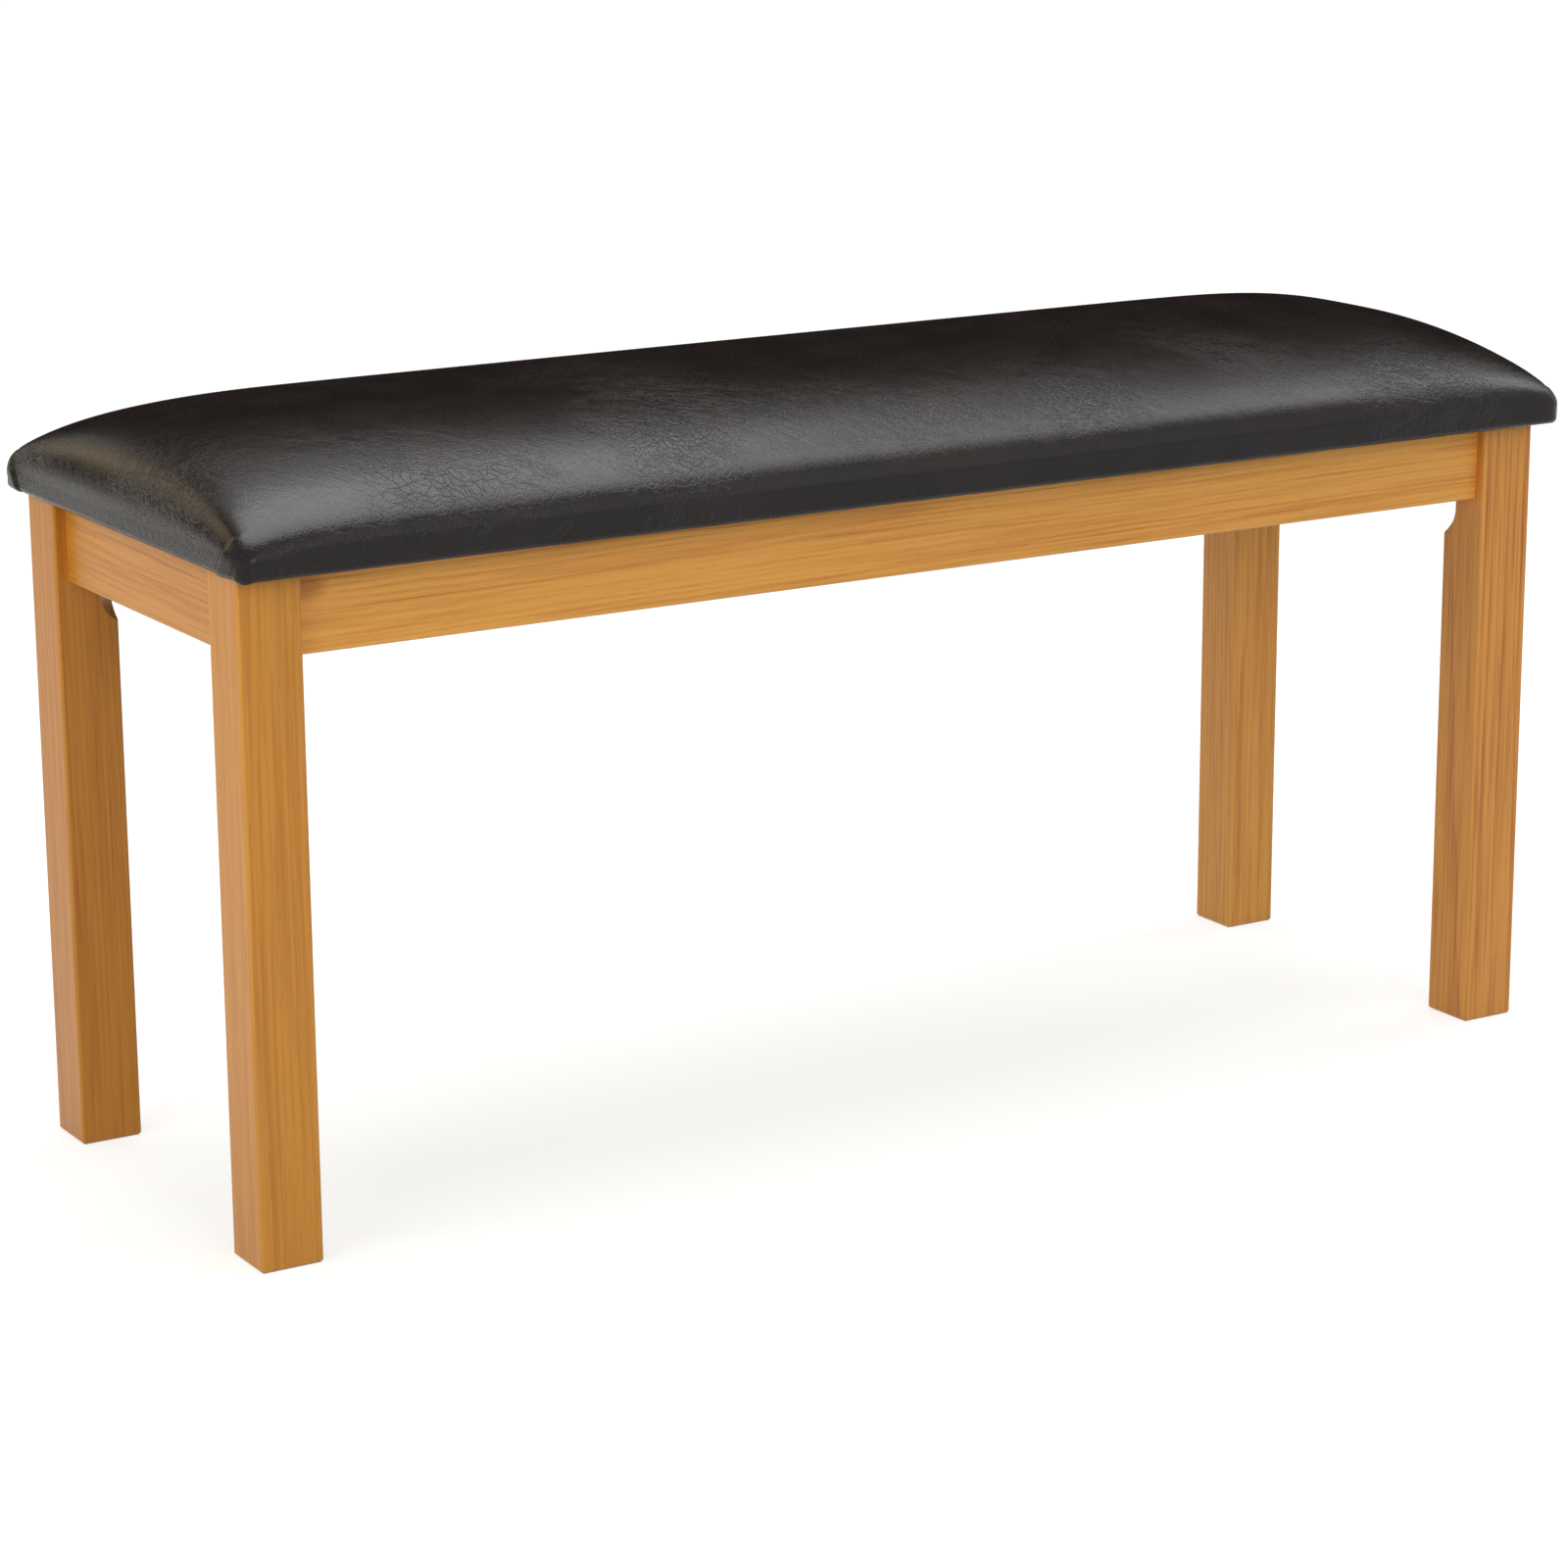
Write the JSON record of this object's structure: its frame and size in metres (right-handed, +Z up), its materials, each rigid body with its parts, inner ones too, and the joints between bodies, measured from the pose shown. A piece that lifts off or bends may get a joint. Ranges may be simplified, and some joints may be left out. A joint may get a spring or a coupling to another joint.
{
  "type": "upholstered dining bench",
  "caption": "Backless dining bench: straight square wooden legs, plain aprons with corner blocks, and a crowned padded seat in dark leatherette.",
  "frame": {"origin": "on the floor, under the centre of the seat", "axes": "+X along the bench to the right as seen from the front, +Y to the rear, +Z up"},
  "size_m": [0.93, 0.344, 0.47],
  "materials": {
    "oak": "clear satin lacquer over honey-coloured straight-grained wood",
    "plain_wood": "bare planed hardwood, as used inside a frame",
    "dowel_wood": "bare beech",
    "plywood": "bare plywood",
    "leatherette": "dark brown satin leatherette with a fine grain",
    "foam": "polyurethane foam",
    "liner_cloth": "thin black non-woven cloth",
    "zinc_steel": "zinc plated",
    "insert_steel": "yellow passivated zinc",
    "screw_steel": "zinc plated"
  },
  "bodies": {
    "root": {"leg_front_left": "oak", "leg_front_right": "oak", "leg_rear_left": "oak", "leg_rear_right": "oak", "apron_front": "oak", "apron_rear": "oak", "apron_left": "oak", "apron_right": "oak", "corner_block_front_left": "plain_wood", "corner_block_front_right": "plain_wood", "corner_block_rear_left": "plain_wood", "corner_block_rear_right": "plain_wood", "middle_rail": "plain_wood", "apron_dowels": "dowel_wood", "leg_bolts": "zinc_steel", "leg_inserts": "insert_steel", "flat_washers": "zinc_steel", "lock_washers": "zinc_steel", "block_screws": "screw_steel", "seat_screws": "screw_steel", "seat_board": "plywood", "seat_foam": "foam", "seat_cover": "leatherette", "dust_cover": "liner_cloth"}
  },
  "joints": []
}
